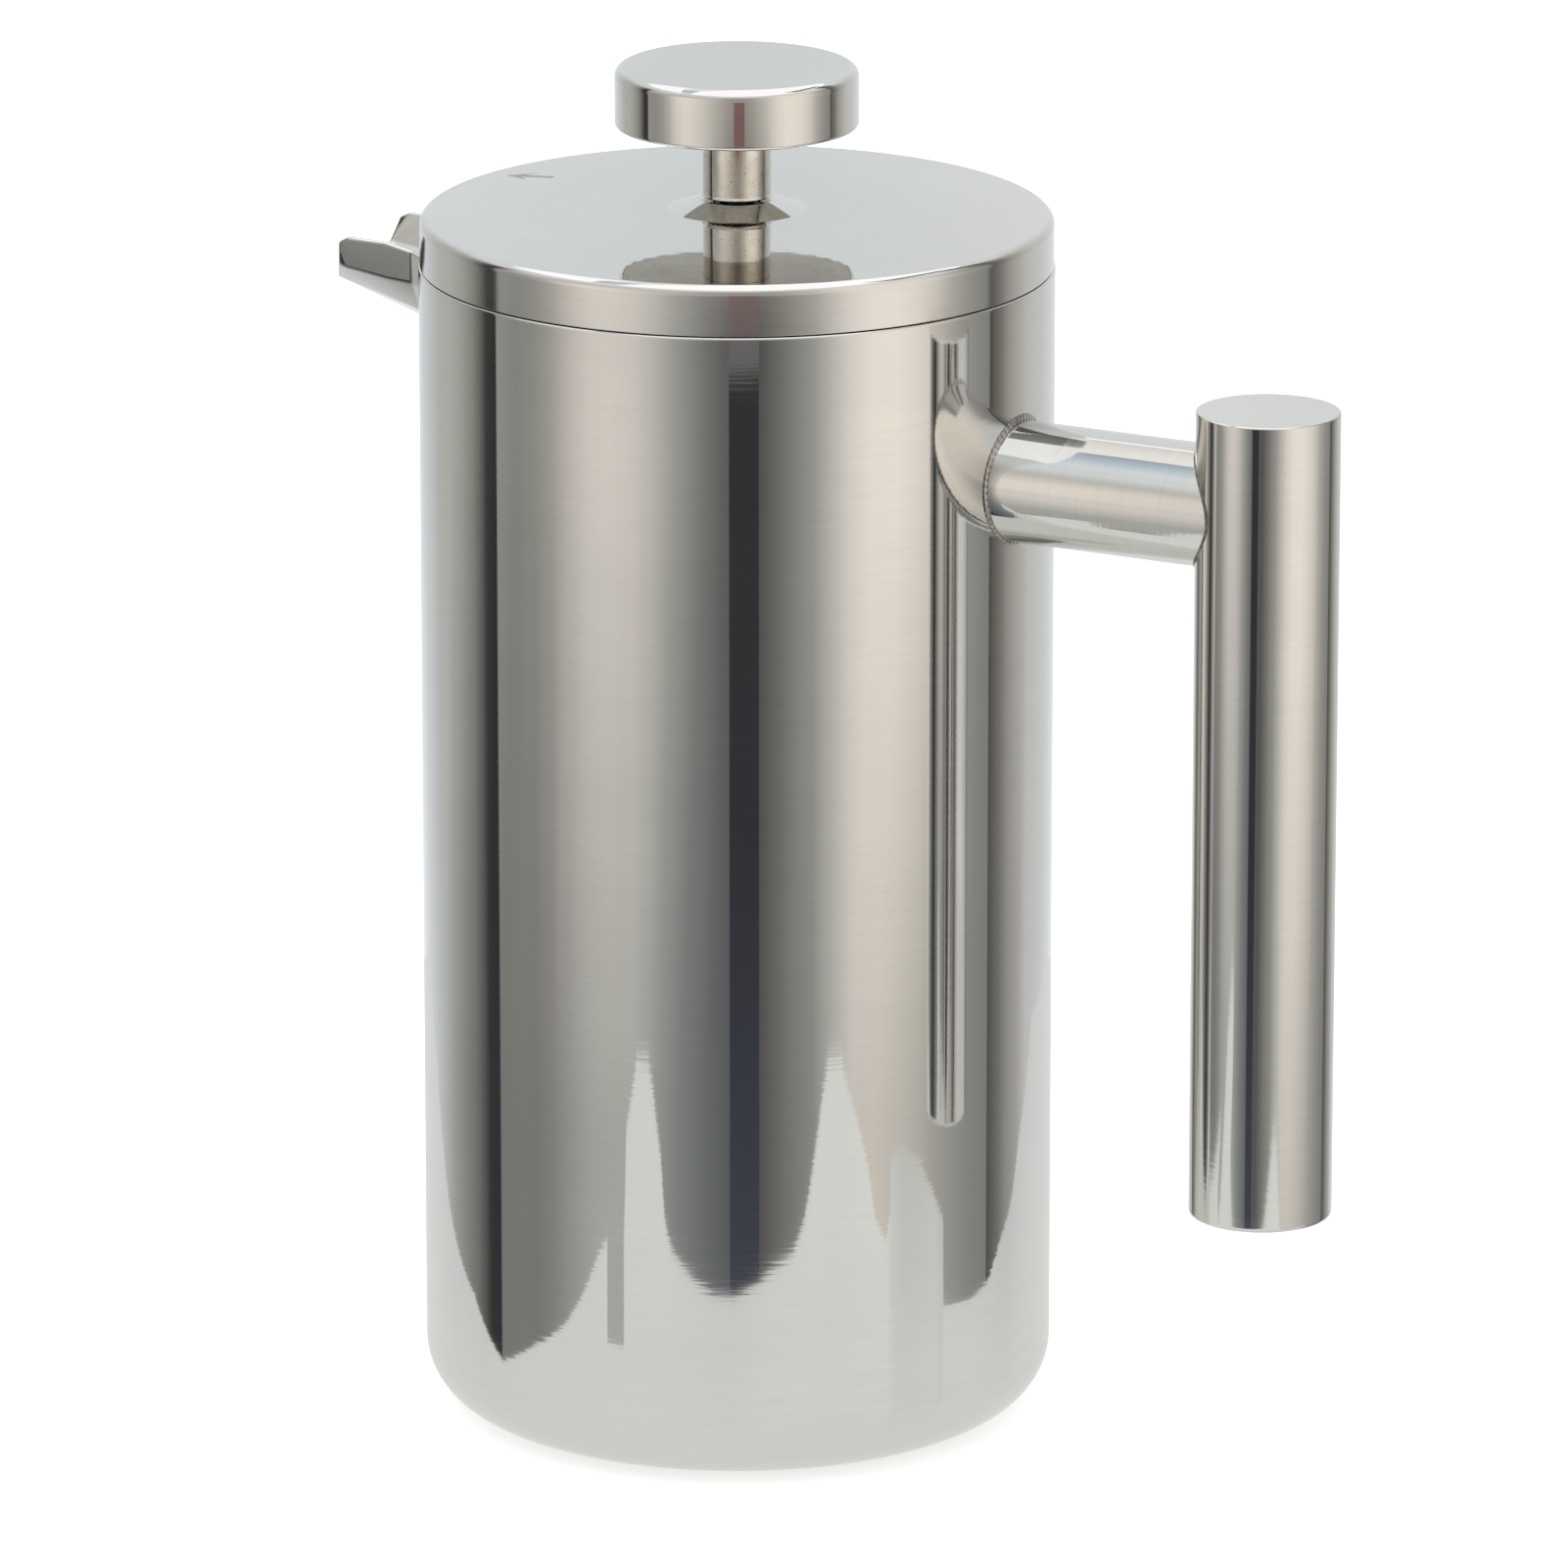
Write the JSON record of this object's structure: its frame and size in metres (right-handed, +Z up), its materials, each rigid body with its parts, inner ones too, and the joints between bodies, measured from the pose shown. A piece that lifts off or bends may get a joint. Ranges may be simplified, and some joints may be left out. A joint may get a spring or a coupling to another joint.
{
  "type": "french press",
  "caption": "Double-wall steel coffee press: straight pot with welded beak spout and tube handle, flat lift-off lid, and a sliding plunger with a disc knob and sprung mesh filter.",
  "frame": {"origin": "middle of the flat base plate, on the pot's axis, at the surface the press stands on", "axes": "+Z up along the pot's axis, +X towards the handle, -X towards the spout"},
  "size_m": [0.1753, 0.1, 0.218],
  "materials": {
    "polished_steel": "mirror polish with very fine circumferential hairlines",
    "satin_steel": "satin, turned or stamped",
    "weld_bead": "rippled weld bead with a brown heat tint",
    "woven_wire": "fine steel wire, woven or coiled",
    "silicone": "matte translucent silicone"
  },
  "bodies": {
    "pot": {"outer_shell": "polished_steel", "inner_liner": "satin_steel", "base_plate": "polished_steel", "spout": "polished_steel", "handle_arm": "polished_steel", "handle_grip": "polished_steel", "grip_top_cap": "polished_steel", "grip_bottom_cap": "polished_steel", "arm_pot_weld": "weld_bead", "arm_grip_weld": "weld_bead"},
    "seal": {"lid_seal": "silicone"},
    "lid": {"lid_shell": "polished_steel", "lid_skirt": "satin_steel", "lid_strainer": "satin_steel", "bush_nut": "satin_steel"},
    "bush": {"rod_bush": "satin_steel"},
    "plunger": {"knob_shell": "polished_steel", "knob_underplate": "polished_steel", "knob_hub": "satin_steel", "knob_neck": "polished_steel", "plunger_rod": "polished_steel", "rod_collar": "satin_steel", "spreader_plate": "satin_steel", "edge_spring": "woven_wire", "mesh_screen": "woven_wire", "cross_plate": "satin_steel", "hub_nut": "satin_steel"}
  },
  "joints": [
    {"name": "lid_lift", "type": "slide", "parent": "pot", "child": "seal", "axis": [0, 0, 1], "range_m": [0, 0.185]},
    {"name": "lid_turn", "type": "hinge", "parent": "seal", "child": "lid", "pos_m": [0, 0, 0.19], "axis": [0, 0, 1], "continuous": true},
    {"name": "plunger_turn", "type": "hinge", "parent": "lid", "child": "bush", "pos_m": [0, 0, 0.19], "axis": [0, 0, 1], "continuous": true},
    {"name": "plunger_slide", "type": "slide", "parent": "bush", "child": "plunger", "axis": [0, 0, 1], "range_m": [0, 0.142]}
  ]
}
